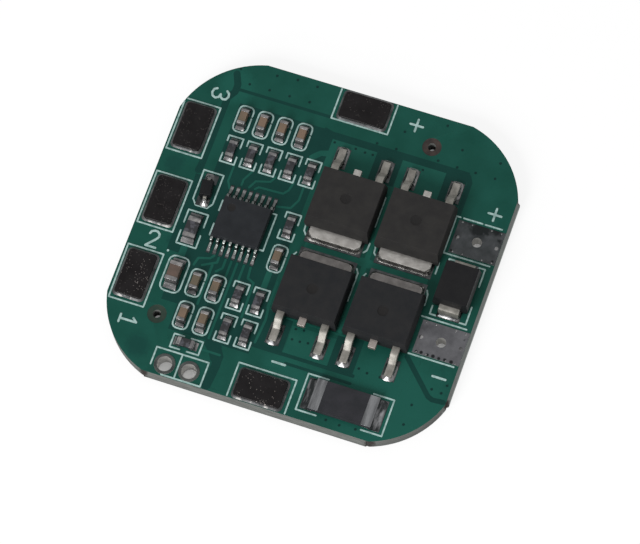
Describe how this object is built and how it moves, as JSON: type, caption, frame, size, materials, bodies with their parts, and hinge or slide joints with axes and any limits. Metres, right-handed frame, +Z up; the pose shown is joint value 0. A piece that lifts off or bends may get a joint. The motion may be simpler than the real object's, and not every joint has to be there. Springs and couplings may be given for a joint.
{
  "type": "battery management board",
  "caption": "Square battery management board with cell-shaped corners, soldered contact plates, power transistors, a controller, a shunt and chip parts on one face.",
  "frame": {"origin": "bottom centre of the bare board", "axes": "+X along the bottom edge towards the output lands, +Y towards the edge with the pack's positive plate, +Z up out of the component side"},
  "size_m": [0.0352, 0.0342, 0.004],
  "materials": {
    "laminate": "satin solder mask",
    "nickel_plate": "worn satin",
    "tinned_land": "tinned, uneven",
    "solder": "bright, uneven",
    "lead_frame": "matte tin",
    "moulding": "fine matte",
    "chip_moulding": "fine matte",
    "diode_moulding": "satin",
    "shunt_ceramic": "matte glaze",
    "resistor_ceramic": "glazed",
    "capacitor_ceramic": "satin ceramic",
    "end_metal": "matte tin"
  },
  "bodies": {
    "root": {"board": "laminate", "capacitor_1": "capacitor_ceramic", "capacitor_2": "capacitor_ceramic", "capacitor_3": "capacitor_ceramic", "capacitor_4": "capacitor_ceramic", "capacitor_5": "capacitor_ceramic", "capacitor_6": "capacitor_ceramic", "capacitor_7": "capacitor_ceramic", "capacitor_8": "capacitor_ceramic", "capacitor_9": "capacitor_ceramic", "capacitor_ends": "end_metal", "capacitor_large": "capacitor_ceramic", "cell_plate_1": "nickel_plate", "cell_plate_2": "nickel_plate", "cell_plate_3": "nickel_plate", "controller_body": "chip_moulding", "controller_leads": "lead_frame", "output_diode_body": "diode_moulding", "output_diode_leads": "lead_frame", "output_land_minus": "tinned_land", "output_land_plus": "tinned_land", "pack_plate_minus": "nickel_plate", "pack_plate_plus": "nickel_plate", "plate_solder": "solder", "power_lands": "tinned_land", "power_solder": "solder", "resistor_1": "resistor_ceramic", "resistor_10": "resistor_ceramic", "resistor_11": "resistor_ceramic", "resistor_2": "resistor_ceramic", "resistor_3": "resistor_ceramic", "resistor_4": "resistor_ceramic", "resistor_5": "resistor_ceramic", "resistor_6": "resistor_ceramic", "resistor_7": "resistor_ceramic", "resistor_8": "resistor_ceramic", "resistor_9": "resistor_ceramic", "resistor_ends": "end_metal", "resistor_large": "resistor_ceramic", "shunt_body": "shunt_ceramic", "shunt_ends": "end_metal", "signal_diode_body": "diode_moulding", "signal_diode_leads": "lead_frame", "signal_lands": "tinned_land", "signal_solder": "solder", "thermistor_eyelet_left": "tinned_land", "thermistor_eyelet_right": "tinned_land", "transistor_lower_left_body": "moulding", "transistor_lower_left_leads": "lead_frame", "transistor_lower_left_tab": "lead_frame", "transistor_lower_right_body": "moulding", "transistor_lower_right_leads": "lead_frame", "transistor_lower_right_tab": "lead_frame", "transistor_upper_left_body": "moulding", "transistor_upper_left_leads": "lead_frame", "transistor_upper_left_tab": "lead_frame", "transistor_upper_right_body": "moulding", "transistor_upper_right_leads": "lead_frame", "transistor_upper_right_tab": "lead_frame"}
  },
  "joints": []
}
